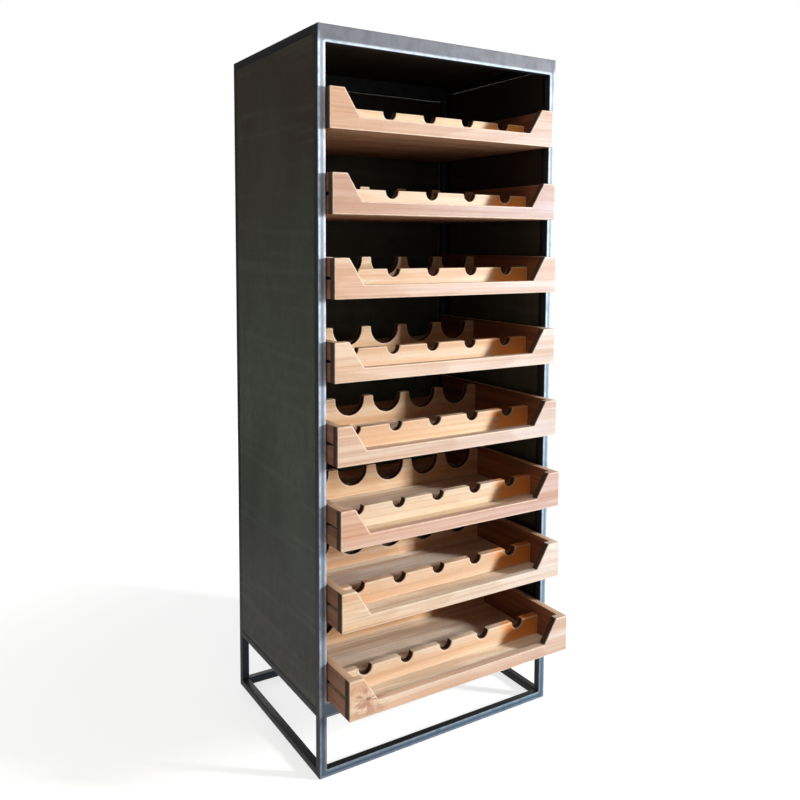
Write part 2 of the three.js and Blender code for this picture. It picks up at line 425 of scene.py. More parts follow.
def new_material(name):
    material = bpy.data.materials.new(name)
    material.use_nodes = True
    material.node_tree.nodes.clear()
    nodes = Nodes(material.node_tree)
    shader = nodes.add("BsdfPrincipled")
    output = nodes.add("OutputMaterial")
    nodes.tree.links.new(shader.outputs[0], output.inputs[0])
    return material, nodes, shader


def bump(nodes, shader, height, depth):
    """Fine relief, depth metres high where height goes from 0 to 1."""
    node = nodes.add("Bump")
    node.inputs["Strength"].default_value = 1.0
    node.inputs["Distance"].default_value = depth
    nodes.feed(node.inputs["Height"], height)
    nodes.feed(shader.inputs["Normal"], node.outputs["Normal"])


def wood_material(name, dark, middle, pale, across_sides=False, worn=None, end=None, top_light_share=0.0,
                  heart=None, stain=None, stain_share=0.0):
    """Oiled teak. Grain runs along X, or along Y where across_sides is true.

    Each board's own place in its log is in the board attribute and its tint in the tone attribute.
    The heart colour is painted shade: it takes over at the right end along X, with a ragged border.
    A stain lies on the wood in soft patches that are long with the grain.
    Faces that look up turn toward the worn colour by a share, as painted light.
    """
    material, n, shader = new_material(name)
    place = n.add("TexCoord")
    x, y, z = n.split(place.outputs["Object"])
    along = n.combine(y, x, z) if across_sides else place.outputs["Object"]
    point = n.vector("ADD", along, n.attribute("board", "Vector"))
    figure = n.group(TIMBER, Point=point, Knot=n.attribute("knot", "Vector"))
    band = tuple((np.array(dark) + np.array(middle)) / 2)
    ground = n.ramp(figure["Bands"], [(0.33, band), (0.46, middle), (0.61, pale)])
    streaked = n.mix(n.step(figure["Streaks"], 0.56, 0.34, 0.0, STREAK_SHARE), ground, dark)
    ringed = n.mix(n.sum("MULTIPLY", figure["Rings"], RING_SHARE), streaked, dark)
    pored = n.mix(n.sum("MULTIPLY", figure["Pores"], PORE_SHARE), ringed, srgb(96, 58, 34))
    if stain:
        patches = n.noise(point, STAIN_STRETCH, detail=3.0, roughness=0.6)
        pored = n.mix(n.step(patches, *STAIN_FROM, 0.0, stain_share), pored, stain)
    tinted = n.mix(1.0, pored, n.attribute("tone", "Color"), blend="MULTIPLY")
    # Painted shade: the rail's right end turns to the orange-brown heart colour
    if heart:
        ragged = n.sum("ADD", x, n.sum("MULTIPLY", n.sum("SUBTRACT", figure["Streaks"], 0.5), NECK_SHADE_RAGGED))
        tinted = n.mix(n.step(ragged, NECK_SHADE_START, NECK_SHADE_END), tinted, heart)
    swirled = n.mix(n.sum("MULTIPLY", figure["Swirl"], SWIRL_SHARE), tinted, srgb(174, 116, 90))
    knotted = n.mix(n.sum("MULTIPLY", figure["Knot"], KNOT_SHARE), swirled, srgb(128, 88, 62))
    facing = n.split(place.outputs["Normal"])
    # End grain darkens faces cut across the grain, and painted shade darkens the walls of notches and
    # grooves
    sawn = n.step(n.sum("ABSOLUTE", facing[1 if across_sides else 0]), 0.25, 0.75)
    end_grain_and_recess = n.sum("MAXIMUM", sawn, n.attribute("recess_shade", "Fac"))
    # Painted shade: faces that look down turn a darker brown
    shaded_below = n.mix(n.step(facing[2], -0.55, -0.9, 0.0, UNDERSIDE_SHADE_SHARE), knotted, UNDERSIDE_SHADE)
    ended = n.mix(n.sum("MULTIPLY", end_grain_and_recess, END_SHARE), shaded_below, end)
    # Painted light: faces that look up turn toward the worn colour
    lit_on_top = n.mix(n.step(facing[2], 0.55, 0.9, 0.0, top_light_share), ended, worn)
    # Wear and painted highlight: the arrises turn pale cream
    wear = n.group(EDGE, Point=place.outputs["Object"], Edge=n.attribute("edge", "Fac"))["Wear_and_highlight"]
    n.feed(shader.inputs["Base Color"], n.mix(n.sum("MULTIPLY", wear, WEAR_AND_HIGHLIGHT_SHARE), lit_on_top, worn))
    rough = n.sum("ADD", n.sum("MULTIPLY", figure["Streaks"], 0.16), 0.44)
    dull = n.sum("ADD", n.sum("MULTIPLY", figure["Pores"], 0.15), n.sum("MULTIPLY", end_grain_and_recess, 0.35))
    n.feed(shader.inputs["Roughness"], n.sum("ADD", rough, dull))
    shader.inputs["Specular IOR Level"].default_value = 0.32
    bump(n, shader, figure["Relief"], 0.00028)
    return material


def steel_material(name, low_colour, high_colour, edge_highlight_colour, side_shade_colour, metallic, roughness):
    """Steel bar whose front face is bright and whose other faces are near-black as painted shade, with rust
    spots.

    The front face has one tint low down and another high up, both clouded, and a painted highlight on its
    edges.
    """
    material, n, shader = new_material(name)
    coordinates = n.add("TexCoord").outputs
    place = coordinates["Object"]
    mottle = n.group(MOTTLE, Point=place)
    height = n.split(place)[2]
    drift = n.sum("ADD", height, n.sum("MULTIPLY", n.sum("SUBTRACT", mottle["Clouds"], 0.5), 0.9))
    ground = n.mix(n.step(drift, 0.25, 1.75), low_colour, high_colour)
    spotted = n.mix(n.step(mottle["Spots"], 0.42, 0.62, 0.0, 0.22), ground, srgb(84, 88, 92))
    wear = n.group(EDGE, Point=place, Edge=n.attribute("edge", "Fac"))["Wear_and_highlight"]
    # Painted highlight: the edges of the front face turn pale
    bright = n.mix(n.sum("MULTIPLY", wear, 0.9), spotted, edge_highlight_colour)
    # Painted shade: faces that turn from the front take the dark side colour, with rust spots
    front = n.step(n.split(coordinates["Normal"])[1], -0.45, -0.85)
    shaded_sides = n.mix(n.step(mottle["Spots"], 0.35, 0.65, 0.0, 0.4), side_shade_colour, RUST)
    faced = n.mix(front, shaded_sides, bright)
    n.feed(shader.inputs["Base Color"], n.mix(1.0, faced, n.attribute("tone", "Color"), blend="MULTIPLY"))
    spread = n.sum("MULTIPLY", n.sum("SUBTRACT", mottle["Spots"], 0.5), 0.22)
    n.feed(shader.inputs["Roughness"], n.sum("ADD", spread, roughness))
    shader.inputs["Metallic"].default_value = metallic
    bump(n, shader, n.sum("ADD", n.sum("MULTIPLY", mottle["Tooth"], 0.4), mottle["Spots"]), 0.00006)
    return material


def sheet_material(name, low, middle, high, roughness):
    """Dark oiled sheet steel: its tint drifts from low to high with the height, clouded, with dull spots."""
    material, n, shader = new_material(name)
    place = n.add("TexCoord").outputs["Object"]
    mottle = n.group(MOTTLE, Point=place)
    height = n.split(place)[2]
    drift = n.sum("ADD", height, n.sum("MULTIPLY", n.sum("SUBTRACT", mottle["Clouds"], 0.5), 1.1))
    ground = n.ramp(n.sum("DIVIDE", drift, HEIGHT), [(0.12, low), (0.50, middle), (0.90, high)])
    spotted = n.mix(n.step(mottle["Spots"], 0.40, 0.66, 0.0, 0.30), ground, srgb(70, 70, 64))
    rolled = n.step(n.noise(place, (2.2, 2.2, 42.0), detail=3.0), 0.50, 0.74, 0.0, 0.16)
    n.feed(shader.inputs["Base Color"], n.mix(rolled, spotted, srgb(132, 132, 126)))
    spread = n.sum("MULTIPLY", n.sum("SUBTRACT", mottle["Clouds"], 0.5), 0.25)
    n.feed(shader.inputs["Roughness"], n.sum("ADD", spread, roughness))
    shader.inputs["Metallic"].default_value = 0.12
    shader.inputs["Specular IOR Level"].default_value = 0.22
    bump(n, shader, n.sum("ADD", n.sum("MULTIPLY", mottle["Tooth"], 0.35), mottle["Spots"]), 0.00008)
    return material


RUST = srgb(40, 34, 30)
# Arrises: paler, as wear and as painted highlight
ARRIS_WEAR_AND_HIGHLIGHT = srgb(255, 238, 216)
# Sawn ends: dark end grain, made darker by painted shade; also the painted shade on the walls of notches and
# grooves
END_GRAIN_AND_SHADE = srgb(56, 27, 15)
# Painted shade on faces that look down
UNDERSIDE_SHADE = srgb(176, 118, 74)
FRONT_WOOD = wood_material(
    "front_teak", srgb(204, 156, 124), srgb(240, 206, 183), srgb(250, 229, 213), worn=ARRIS_WEAR_AND_HIGHLIGHT, end=END_GRAIN_AND_SHADE)
RAIL_WOOD = wood_material(
    "rail_teak", srgb(210, 153, 106), srgb(238, 204, 168), srgb(247, 225, 199), worn=ARRIS_WEAR_AND_HIGHLIGHT, end=END_GRAIN_AND_SHADE)
# Neck rails: their heart colour is painted shade, the orange-brown of their right ends
NECK_WOOD = wood_material(
    "neck_teak", srgb(226, 182, 140), srgb(250, 221, 191), srgb(254, 238, 217), worn=ARRIS_WEAR_AND_HIGHLIGHT, end=END_GRAIN_AND_SHADE,
    heart=srgb(255, 166, 84), stain=srgb(232, 160, 106), stain_share=0.28)
FLOOR_WOOD = wood_material(
    "floor_teak", srgb(210, 180, 150), srgb(252, 238, 219), srgb(255, 249, 238), worn=ARRIS_WEAR_AND_HIGHLIGHT, end=END_GRAIN_AND_SHADE,
    stain=srgb(170, 134, 104), stain_share=0.42)
# Drawer sides: darker than the fronts, partly a darker teak and partly painted shade, as they face away from
# the light; their pale tops are painted light
SHADED_SIDE_WOOD = wood_material(
    "side_teak_with_painted_shade", srgb(108, 66, 44), srgb(152, 99, 70), srgb(180, 124, 90),
    across_sides=True, worn=srgb(244, 208, 174), end=END_GRAIN_AND_SHADE, top_light_share=0.85)
# Tube steel: the pale colour is the painted highlight on its edges, and the last the painted shade on its
# side faces
TUBE_STEEL = steel_material(
    "tube_steel", srgb(108, 134, 156), srgb(134, 138, 144), srgb(196, 208, 222), srgb(30, 31, 34), 0.3, 0.62)
# Rack steel: a dark finish, with a faint painted highlight on its edges and painted shade on its side faces
RACK_STEEL = steel_material(
    "rack_steel", srgb(44, 44, 43), srgb(44, 44, 43), srgb(60, 60, 58), srgb(30, 31, 34), 0.5, 0.5)
# Side, back, top and bottom sheets: the tint drifts with height, and the near-black bottom is painted shade
PANEL_STEEL = sheet_material(
    "panel_steel", srgb(30, 28, 20), srgb(101, 108, 95), srgb(68, 58, 48), 0.55)


def rounded_outline(points, radii):
    """Corners of a closed outline as arcs, ready to be moved inwards.

    Points run anticlockwise. Returns anchor, mitre, direction and radius arrays: a point that lies
    d inside the edge is anchor + mitre * max(d, radius) + direction * max(radius - d, 0) on a corner
    that points out, and anchor - mitre * radius + direction * (radius + d) on one that points in.
    """
    points = np.asarray(points, float)
    radii = np.broadcast_to(np.asarray(radii, float), len(points))
    ahead = np.roll(points, -1, axis=0) - points
    ahead /= np.linalg.norm(ahead, axis=1, keepdims=True)
    behind = np.roll(ahead, 1, axis=0)
    turn = np.arctan2(behind[:, 0] * ahead[:, 1] - behind[:, 1] * ahead[:, 0], (behind * ahead).sum(1))
    inward_before = np.stack([-behind[:, 1], behind[:, 0]], 1)
    inward_after = np.stack([-ahead[:, 1], ahead[:, 0]], 1)
    mitre = (inward_before + inward_after) / (1 + (inward_before * inward_after).sum(1))[:, None]
    corner = (np.abs(turn) > SHARP_TURN) & (radii > 0)
    counts = np.where(corner, CORNER_STEPS + 1, 1)
    owner = np.repeat(np.arange(len(points)), counts)
    order = np.arange(len(owner)) - np.repeat(np.cumsum(counts) - counts, counts)
    share = order / CORNER_STEPS
    side = np.where(turn > 0, 1.0, -1.0)[owner]
    start = np.arctan2(inward_before[:, 1], inward_before[:, 0])[owner]
    angle = start + share * turn[owner] + np.where(side > 0, math.pi, 0.0)
    direction = np.stack([np.cos(angle), np.sin(angle)], 1)
    radius = np.where(corner, radii, 0.0)[owner]
    return points[owner], mitre[owner], direction, radius, side


def inset(outline, distance):
    """The outline's points, moved inwards by a distance."""
    anchor, mitre, direction, radius, side = outline
    out = anchor + mitre * np.maximum(distance, radius)[:, None]
    out = out + direction * np.maximum(radius - distance, 0.0)[:, None]
    hollow = anchor - mitre * radius[:, None] + direction * (radius + distance)[:, None]
    plain = anchor + mitre * distance
    return np.where(radius[:, None] == 0, plain, np.where(side[:, None] > 0, out, hollow))


def board_shell(points, radii, low, high, arris=ARRIS, worn=WEAR_AND_HIGHLIGHT_BAND, wear=(1.0, 1.0)):
    """Closed shell of an outline given a thickness from low to high, a quarter-round arris at both faces.

    The shell is a grid: one parameter runs round the outline, the other from the middle of one face
    over its arris and the edge to the other face. Returns (u, v, w) points with w along the thickness,
    faces, and how much wear and painted highlight each point takes: wear is the share at the low face's
    arris and at the high one's.
    """
    outline = rounded_outline(points, radii)
    angles = np.linspace(0, math.pi / 2, CORNER_STEPS + 1)
    depth = np.concatenate([[0.0], arris * (1 - np.cos(angles))])
    inwards = np.concatenate([[worn], arris * (1 - np.sin(angles))])
    near = np.concatenate([[0.0], np.ones(CORNER_STEPS + 1)])
    wall = min(worn, (high - low) / 3)
    depth = np.append(depth, wall)
    inwards = np.append(inwards, 0.0)
    near = np.append(near, 0.0)
    stations = np.concatenate([low + depth, high - depth[::-1]])
    insets = np.concatenate([inwards, inwards[::-1]])
    edges = np.concatenate([near * wear[0], near[::-1] * wear[1]])
    loops = np.stack([inset(outline, d) for d in insets])
    rows, count = loops.shape[:2]
    grid = np.concatenate([loops, np.broadcast_to(stations[:, None, None], (rows, count, 1))], 2)
    index = np.arange(rows * count).reshape(rows, count)
    right = np.roll(index, -1, axis=1)
    quads = np.stack([index[:-1], right[:-1], right[1:], index[1:]], 2).reshape(-1, 4)
    faces = quads.tolist() + [index[0, ::-1].tolist(), index[-1].tolist()]
    return grid.reshape(-1, 3), faces, np.repeat(edges, count)


def turned(points, axis):
    """Puts (u, v, w) points in space: w runs along Y on an X and Z outline, or along X on a Y and Z one."""
    u, v, w = points.T
    return np.stack([u, w, v] if axis == "Y" else [w, u, v], 1)


def make_mesh(name, shells):
    """Joins shells into one mesh with its attributes, doubles merged, faces out."""
    points = np.concatenate([s["points"] for s in shells])
    starts = np.cumsum([0] + [len(s["points"]) for s in shells])
    faces = [[i + start for i in face] for s, start in zip(shells, starts) for face in s["faces"]]
    mesh = bpy.data.meshes.new(name)
    mesh.from_pydata(points.tolist(), [], faces)
    widths = {"edge": ("FLOAT", "value"), "recess_shade": ("FLOAT", "value"), "board": ("FLOAT_VECTOR", "vector"),
              "tone": ("FLOAT_COLOR", "color"), "knot": ("FLOAT_VECTOR", "vector")}
    for label, (kind, field) in widths.items():
        values = np.concatenate([s[label] for s in shells]).astype(np.float32)
        mesh.attributes.new(label, kind, "POINT").data.foreach_set(field, values.ravel())
    solid = bmesh.new()
    solid.from_mesh(mesh)
    bmesh.ops.remove_doubles(solid, verts=solid.verts, dist=MERGE_DISTANCE)
    bmesh.ops.recalc_face_normals(solid, faces=solid.faces)
    solid.to_mesh(mesh)
    solid.free()
    mesh.polygons.foreach_set("use_smooth", np.ones(len(mesh.polygons), bool))
    mesh.set_sharp_from_angle(angle=CREASE)
    return mesh


def shell(points, faces, edge, board=(0, 0, 0), tone=(1, 1, 1), knot=FAR_OFF, recess_shade=None):
    """One closed surface and its attributes: board and knot are the same on all of it.

    The tone is one colour or a colour at each point. Recess shade is 1 on the walls of notches and grooves,
    which take painted shade.
    """
    count = len(points)
    colour = np.broadcast_to(np.asarray(tone, float), (count, 3))
    return {
        "points": np.asarray(points, float),
        "faces": faces,
        "edge": np.asarray(edge, float),
        "recess_shade": np.zeros(count) if recess_shade is None else recess_shade,
        "board": np.tile(np.asarray(board, float), (count, 1)),
        "tone": np.concatenate([colour, np.ones((count, 1))], 1),
        "knot": np.tile(np.asarray(knot, float), (count, 1)),
    }


def piece(name, shells, material, body, slot, *nodes):
    """Puts shells into the scene as one object that rides on a body and stands for CAD nodes."""
    mesh = make_mesh(name, shells)
    mesh.materials.append(material)
    made = bpy.data.objects.new(name, mesh)
    bpy.context.scene.collection.objects.link(made)
    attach(made, body)
    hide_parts(*nodes)
    return made


def log_place(low, high, along, flat):
    """Where a board lies in its log: the vector that takes its middle to a random place near the heart.

    The board's wide faces are square to the flat axis, and its grain runs along the along axis.
    """
    middle = (np.array(low) + np.array(high)) / 2
    wide = 3 - along - flat
    place = np.zeros(3)
    place[along] = chance.uniform(*ALONG_LOG)
    place[flat] = chance.uniform(*FROM_HEART)
    place[wide] = chance.uniform(*OFF_HEART)
    moved = place - middle
    if along == 1:
        return moved[[1, 0, 2]]
    return moved


def tint():
    """A board's tint, a little lighter or darker than its palette colour."""
    return np.array(TINTS[chance.integers(len(TINTS))]) * chance.uniform(*TINT_SPREAD)


def rectangle(left, right, bottom, top):
    return [(left, bottom), (right, bottom), (right, top), (left, top)]


def front_outline(low, high):
    """Shoulders at both ends and slopes to a low middle."""
    left = low.x + SHOULDER_WIDTH
    right = high.x - SHOULDER_WIDTH
    valley = high.z - CUTAWAY_DEPTH
    return [
        (low.x, low.z), (high.x, low.z), (high.x, high.z), (right, high.z),
        (right - SLOPE_RUN, valley), (left + SLOPE_RUN, valley), (left, high.z), (low.x, high.z),
    ]


def side_outline(low, high, side):
    """A board on edge with a groove at mid-height on its outer face. side is -1 on the left."""
    outer, inner = (low.x, high.x) if side < 0 else (high.x, low.x)
    bed = outer - side * GROOVE_DEPTH
    middle = (low.z + high.z) / 2
    groove_low = middle - GROOVE_HEIGHT / 2
    groove_high = middle + GROOVE_HEIGHT / 2
    points = [(inner, low.z), (outer, low.z), (outer, groove_low), (bed, groove_low),
              (bed, groove_high), (outer, groove_high), (outer, high.z), (inner, high.z)]
    return points if side > 0 else points[::-1]


def groove_walls(points, low, high, side):
    """1 on the walls of the groove: the points that lie in its band of heights and behind the outer face."""
    outer = low.x if side < 0 else high.x
    depth = np.abs(points[:, 0] - outer)
    off_middle = np.abs(points[:, 1] - (low.z + high.z) / 2)
    in_groove = (off_middle < GROOVE_HEIGHT) & (depth > CORNER_ROUND / 3) & (depth < GROOVE_DEPTH + ARRIS)
    return in_groove.astype(float)


def bottle_centres(low, high, bay):
    """Where the bottles lie across the drawer: five notches with six equal teeth."""
    tooth = (bay - BOTTLES * 2 * BOTTLE_RADIUS) / (BOTTLES + 1)
    places = np.arange(BOTTLES) - (BOTTLES - 1) / 2
    return (low.x + high.x) / 2 + places * (2 * BOTTLE_RADIUS + tooth)


def notched_outline(low, high, radius, rise, ease, centres):
    """A rail whose top edge dips in a half round under each bottle. Returns points and corner radii."""
    turn = np.linspace(0, math.pi, NOTCH_STEPS + 1)
    points = [(low.x, low.z), (high.x, low.z), (high.x, high.z)]
    radii = [CORNER_ROUND] * 3
    for centre in centres[::-1]:
        arc = np.stack([centre + radius * np.cos(turn), high.z - rise - radius * np.sin(turn)], 1)
        points += [(centre + radius, high.z), *map(tuple, arc), (centre - radius, high.z)]
        radii += [ease, *[0.0] * len(arc), ease]
    return points + [(low.x, high.z)], radii + [CORNER_ROUND]


def notch_walls(points, high, radius, rise, centres):
    """1 on the walls of the notches: the points whose distance from a notch's axis is its radius."""
    across = np.abs(points[:, 0, None] - centres).min(1)
    below = np.maximum(high.z - rise - points[:, 1], 0.0)
    return (np.hypot(across, below) < radius + ARRIS / 3).astype(float)


def drawer_pieces(number):
    """All boards of one drawer."""
    body = f"drawer_{number}"
    knot = FAR_OFF
    low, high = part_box(f"{body}_front")
    place = log_place(low, high, 0, 1) + LOG_SHIFTS.get(number, 0)
    if number == DRAWERS:
        knot = np.array(KNOT_PLACE) + place
    outline = front_outline(low, high)
    points, faces, edge = board_shell(outline, CORNER_ROUND, low.y, high.y, wear=FACE_ONLY)
    across = points[:, :1] / high.x
    # Painted light: each front turns cooler towards its right end and warmer towards its left
    tone = FRONT_TINTS[number - 1] * (1 + across * FRONT_LIGHT_TURN)
    front = shell(turned(points, "Y"), faces, edge, place, tone, knot)
    piece(f"{body}_front_board", [front], FRONT_WOOD, body, "front_wood", f"{body}_front")
    bay = 0
    for side, word in ((-1, "left"), (1, "right")):
        low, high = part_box(f"{body}_{word}_side")
        bay += side * (low.x if side > 0 else high.x)
        outline = side_outline(low, high, side)
        points, faces, edge = board_shell(outline, CORNER_ROUND, low.y, high.y, wear=PLAIN_ARRISES)
        # Painted shade on the walls of the groove
        recess_shade = groove_walls(points, low, high, side)
        board = shell(turned(points, "Y"), faces, edge, log_place(low, high, 1, 0), tint(), recess_shade=recess_shade)
        piece(f"{body}_{word}_board", [board], SHADED_SIDE_WOOD, body, "board_wood", f"{body}_{word}_side")
    for word, radius, rise, ease in NOTCHES:
        low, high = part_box(f"{body}_{word}_rail")
        centres = bottle_centres(low, high, bay)
        outline, radii = notched_outline(low, high, radius, rise, ease, centres)
        points, faces, edge = board_shell(outline, radii, low.y, high.y)
        # Painted shade on the walls of the notches
        recess_shade = notch_walls(points, high, radius, rise, centres)
        place = log_place(low, high, 0, 1)
        rail = shell(turned(points, "Y"), faces, edge, place, tint(), recess_shade=recess_shade)
        wood = NECK_WOOD if word == "neck" else RAIL_WOOD
        piece(f"{body}_{word}_rest", [rail], wood, body, "board_wood", f"{body}_{word}_rail")
    low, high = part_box(f"{body}_floor")
    piece(f"{body}_floor_planks", floor_shells(low, high), FLOOR_WOOD, body, "board_wood", f"{body}_floor")
    ledge_low = Vector((low.x, high.y - BOARD_THICKNESS, low.z + FLOOR_THICKNESS))
    outline = rectangle(ledge_low.y, high.y, ledge_low.z, high.z)
    points, faces, edge = board_shell(outline, CORNER_ROUND, low.x, high.x)
    ledge = shell(turned(points, "X"), faces, edge, log_place(ledge_low, high, 0, 1), tint())
    piece(f"{body}_back_ledge", [ledge], RAIL_WOOD, body, "board_wood", f"{body}_floor")


def floor_shells(low, high):
    """Planks laid side by side, their grain across the drawer."""
    width = (high.y - low.y) / PLANKS
    made = []
    for number in range(PLANKS):
        front = low.y + number * width + PLANK_JOINT / 2
        back = low.y + (number + 1) * width - PLANK_JOINT / 2
        outline = rectangle(front, back, low.z, low.z + FLOOR_THICKNESS)
        points, faces, edge = board_shell(outline, CORNER_ROUND / 2, low.x, high.x, ARRIS / 2)
        corner = (high.x, back, low.z + FLOOR_THICKNESS)
        place = log_place((low.x, front, low.z), corner, 0, 2)
        # Painted light and shade by plank
        tone = tint() * PLANK_LIGHT_AND_SHADE[number]
        made.append(shell(turned(points, "X"), faces, edge, place, tone))
    return made


def framework(breaks, filled):
    """Surface of the filled cells of a box grid, as points, quads and an edge value.

    Breaks are the grid's planes along each axis, filled says which cells are solid. A quad lies
    wherever a filled cell meets an empty one. Points where faces of two directions meet are edges.
    """
    shape = [len(b) for b in breaks]
    index = np.arange(np.prod(shape)).reshape(shape)
    grid = np.stack(np.meshgrid(*breaks, indexing="ij"), -1).reshape(-1, 3)
    padded = np.pad(filled, 1)
    quads, touched = [], np.zeros((len(grid), 3), bool)
    for axis in range(3):
        steps = np.diff(padded.astype(int), axis=axis)
        inner = [slice(1, -1)] * 3
        inner[axis] = slice(None)
        steps = steps[tuple(inner)]
        first, second = [a for a in range(3) if a != axis]
        cells = np.argwhere(steps != 0)
        offsets = np.zeros((4, 3), int)
        offsets[1:3, first] = 1
        offsets[2:4, second] = 1
        corners = cells[:, None, :] + offsets[None]
        quad = index[corners[..., 0], corners[..., 1], corners[..., 2]]
        quads.append(quad)
        touched[quad.ravel(), axis] = True
    quads = np.concatenate(quads)
    used, fresh = np.unique(quads, return_inverse=True)
    edge = (touched[used].sum(1) > 1).astype(float)
    return grid[used], fresh.reshape(quads.shape).tolist(), edge


def with_borders(planes):
    """Adds a plane just inside each tube wall, so that the painted edge highlight has its own strip."""
    planes = np.asarray(planes, float)
    return np.unique(np.round(np.concatenate([
        planes, planes[:-1] + TUBE_HIGHLIGHT_BAND, planes[1:] - TUBE_HIGHLIGHT_BAND]), 6))


def end_frame(node, tone):
    """Front or rear frame: posts and rails in one welded piece, its corners rounded as tube is."""
    low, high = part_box(node)
    if low.y < 0:
        high.y += SEAM
    else:
        low.y -= SEAM
    side = RAIL_SIDE + SEAM
    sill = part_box("back_panel")[0].z
    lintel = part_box("back_panel")[1].z
    body_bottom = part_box("left_runner_rack")[0].z
    across = with_borders([low.x, low.x + side, high.x - side, high.x])
    deep = with_borders([low.y, high.y])
    up = with_borders([low.z, low.z + RAIL_SIDE, body_bottom, sill, lintel, high.z])
    centre = [(b[1:] + b[:-1]) / 2 for b in (across, deep, up)]
    x, _, z = np.meshgrid(*centre, indexing="ij")
    post = np.abs(x) > high.x - side
    rail = (z < low.z + side) | ((z > body_bottom) & (z < sill)) | (z > lintel)
    points, faces, edge = framework((across, deep, up), post | rail)
    # No painted edge highlight along the top, nor anywhere on the shaded rear frame
    edge[points[:, 2] > high.z - side / 2] = 0.0
    if tone == SHADED_STEEL_TONE:
        edge[:] = 0.0
    height = points[:, 2:]
    # Painted light and shade by side and height
    leg, post_low, post_high = (np.where(points[:, :1] < 0, *np.array(tones))
                                for tones in (LEG_LIGHT_TONES, LOW_POST_LIGHT_TONES, HIGH_POST_LIGHT_TONES))
    share = np.where(height < body_bottom, leg, post_low + (post_high - post_low) * height / HEIGHT)
    share = np.where(height > lintel + SEAM, LINTEL_LIGHT_TONE, share)
    made = piece(f"{node}_tubes", [shell(points, faces, edge, tone=share * np.array(tone))],
                 TUBE_STEEL, "cabinet", "frame_steel", node)
    bevel = made.modifiers.new("round_corners", "BEVEL")
    bevel.width = TUBE_ROUND
    bevel.segments = TUBE_BEVEL_STEPS
    bevel.limit_method = "ANGLE"
    bevel.angle_limit = TUBE_BEVEL_FROM
    bevel.harden_normals = True
    bevel.use_clamp_overlap = False


def bar(low, high, rounding, axis="Y", tone=BARE):
    """A straight bar between two corners, its long edges rounded."""
    if axis == "Y":
        outline = rectangle(low[0], high[0], low[2], high[2])
        ends = (low[1], high[1])
    else:
        outline = rectangle(low[0], high[0], low[1], high[1])
        ends = (low[2], high[2])
    # The band along the edges that takes the painted highlight
    worn = min(TUBE_HIGHLIGHT_BAND, (high[0] - low[0]) / 3)
    points, faces, edge = board_shell(outline, rounding, *ends, arris=rounding / 4, worn=worn)
    spread = points if axis == "Z" else turned(points, axis)
    return shell(spread, faces, edge, tone=tone)


def side_steel(side, word):
    """Floor rail, upper and lower side rails, and the rack of strips and runners on one side."""
    frames = (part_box("front_frame")[1].y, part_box("rear_frame")[0].y)
    low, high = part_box(f"{word}_floor_rail")
    # Painted shade: the side rails are near-black
    rail = bar((low.x, frames[0], low.z), (high.x, frames[1], high.z), TUBE_ROUND, tone=SHADED_STEEL_TONE)
    piece(f"{word}_floor_tube", [rail], TUBE_STEEL, "cabinet", "frame_steel", f"{word}_floor_rail")
    node = f"{word}_runner_rack"
    rack_low, rack_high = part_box(node)
    tube = (low.x - SEAM if side > 0 else low.x, high.x + SEAM if side < 0 else high.x)
    rails = [bar((tube[0], frames[0], bottom), (tube[1], frames[1], top), TUBE_ROUND, tone=SHADED_STEEL_TONE)
             for bottom, top in ((rack_low.z, rack_low.z + RAIL_SIDE + SEAM),
                                 (rack_high.z - RAIL_SIDE - SEAM, rack_high.z))]
    piece(f"{word}_side_tubes", rails, TUBE_STEEL, "cabinet", "rack_steel", node)
    inner = min(abs(rack_low.x), abs(rack_high.x))
    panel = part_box(f"{word}_side_panel")
    outer = min(abs(panel[0].x), abs(panel[1].x)) - (frames[1] - rack_high.y)
    bars = []
    for front in (rack_low.y, rack_high.y - STRIP_WIDTH):
        across = sorted((side * (outer - STRIP_THICKNESS), side * outer))
        bars.append(bar((across[0], front, rack_low.z + RAIL_SIDE),
                        (across[1], front + STRIP_WIDTH, rack_high.z - RAIL_SIDE), STRIP_THICKNESS / 6))
    for number in range(1, DRAWERS + 1):
        board_low, board_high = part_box(f"drawer_{number}_{word}_side")
        top = (board_low.z + board_high.z + GROOVE_HEIGHT) / 2 - (frames[1] - rack_high.y)
        across = sorted((side * inner, side * (outer - STRIP_THICKNESS)))
        bars.append(bar((across[0], rack_low.y, top - RUNNER_THICKNESS),
                        (across[1], rack_high.y, top), STRIP_THICKNESS / 6))
    piece(f"{word}_runners", bars, RACK_STEEL, "cabinet", "rack_steel", node)


def panels():
    """The flat sheets keep their CAD shape and take the dark finish."""
    for node in ("left_side_panel", "right_side_panel", "back_panel", "bottom_panel", "top_panel"):
        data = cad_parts[node].data
        data.materials.clear()
        data.materials.append(PANEL_STEEL)


def camera():
    """The photograph's view: a level lens shift keeps the posts nearly upright."""
    data = bpy.data.cameras.new("camera")
    data.sensor_width = 36
    data.lens = FOCAL_PIXELS / PICTURE_SIDE * data.sensor_width
    data.shift_y = (CENTRE_ROW - PICTURE_SIDE / 2) / PICTURE_SIDE
    made = bpy.data.objects.new("camera", data)
    turn = Matrix.Rotation(-math.radians(CAMERA_YAW), 4, "Z")
    tilt = Matrix.Rotation(math.radians(90 - CAMERA_PITCH), 4, "X")
    roll = Matrix.Rotation(math.radians(CAMERA_ROLL), 4, "Z")
    made.matrix_world = Matrix.Translation(CAMERA_PLACE) @ turn @ tilt @ roll
    bpy.context.scene.collection.objects.link(made)
    bpy.context.scene.camera = made


